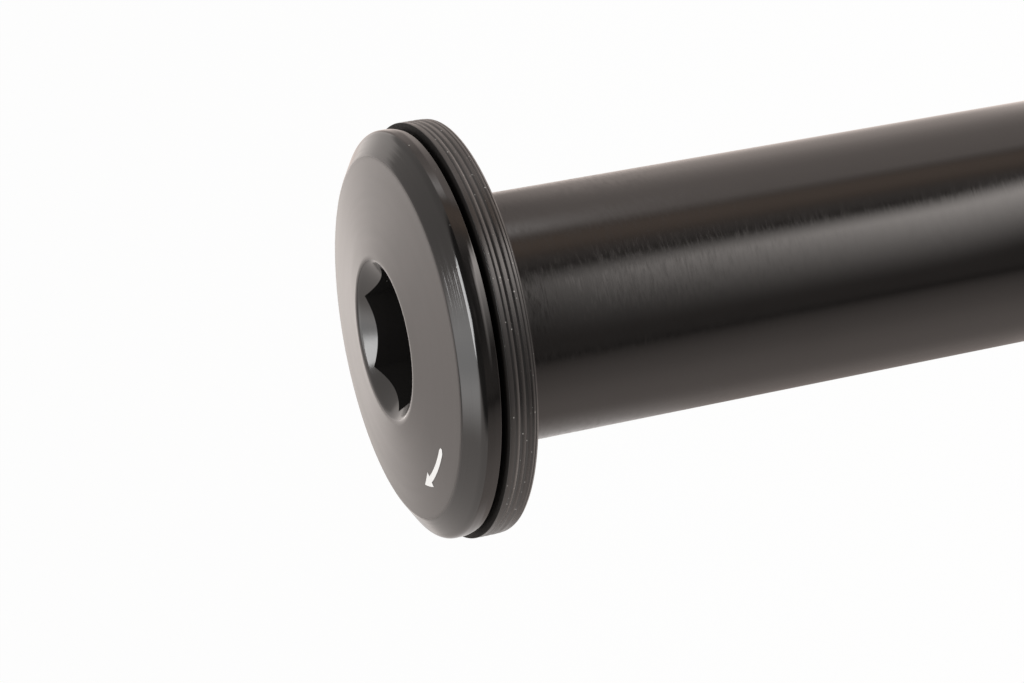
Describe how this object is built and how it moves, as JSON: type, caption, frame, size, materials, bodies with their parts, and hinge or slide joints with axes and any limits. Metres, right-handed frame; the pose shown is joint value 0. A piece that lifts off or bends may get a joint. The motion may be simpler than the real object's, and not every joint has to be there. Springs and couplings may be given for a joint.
{
  "type": "bicycle thru axle",
  "caption": "Hollow bicycle thru axle with a low conical hex-socket head, a free-turning ridged washer under it and a threaded tip; clamps a wheel hub in a frame or fork.",
  "frame": {"origin": "centre of the flat end of the threaded tip, which the axle stands on", "axes": "+Z along the axle's axis from its tip up to its head, +X through a corner of the hex socket"},
  "size_m": [0.0198, 0.0198, 0.1725],
  "materials": {
    "axle_anodise": "black anodised: bead-blasted satin on the face, fine turned marks on the shaft",
    "washer_anodise": "black anodised over turned ridges",
    "rubber": "smooth black rubber"
  },
  "bodies": {
    "axle": {"axle": "axle_anodise", "o_ring": "rubber"},
    "washer": {"washer": "washer_anodise"}
  },
  "joints": [
    {"name": "washer_spin", "type": "hinge", "parent": "axle", "child": "washer", "pos_m": [0, 0, 0.16939], "axis": [0, 0, -1], "continuous": true}
  ]
}
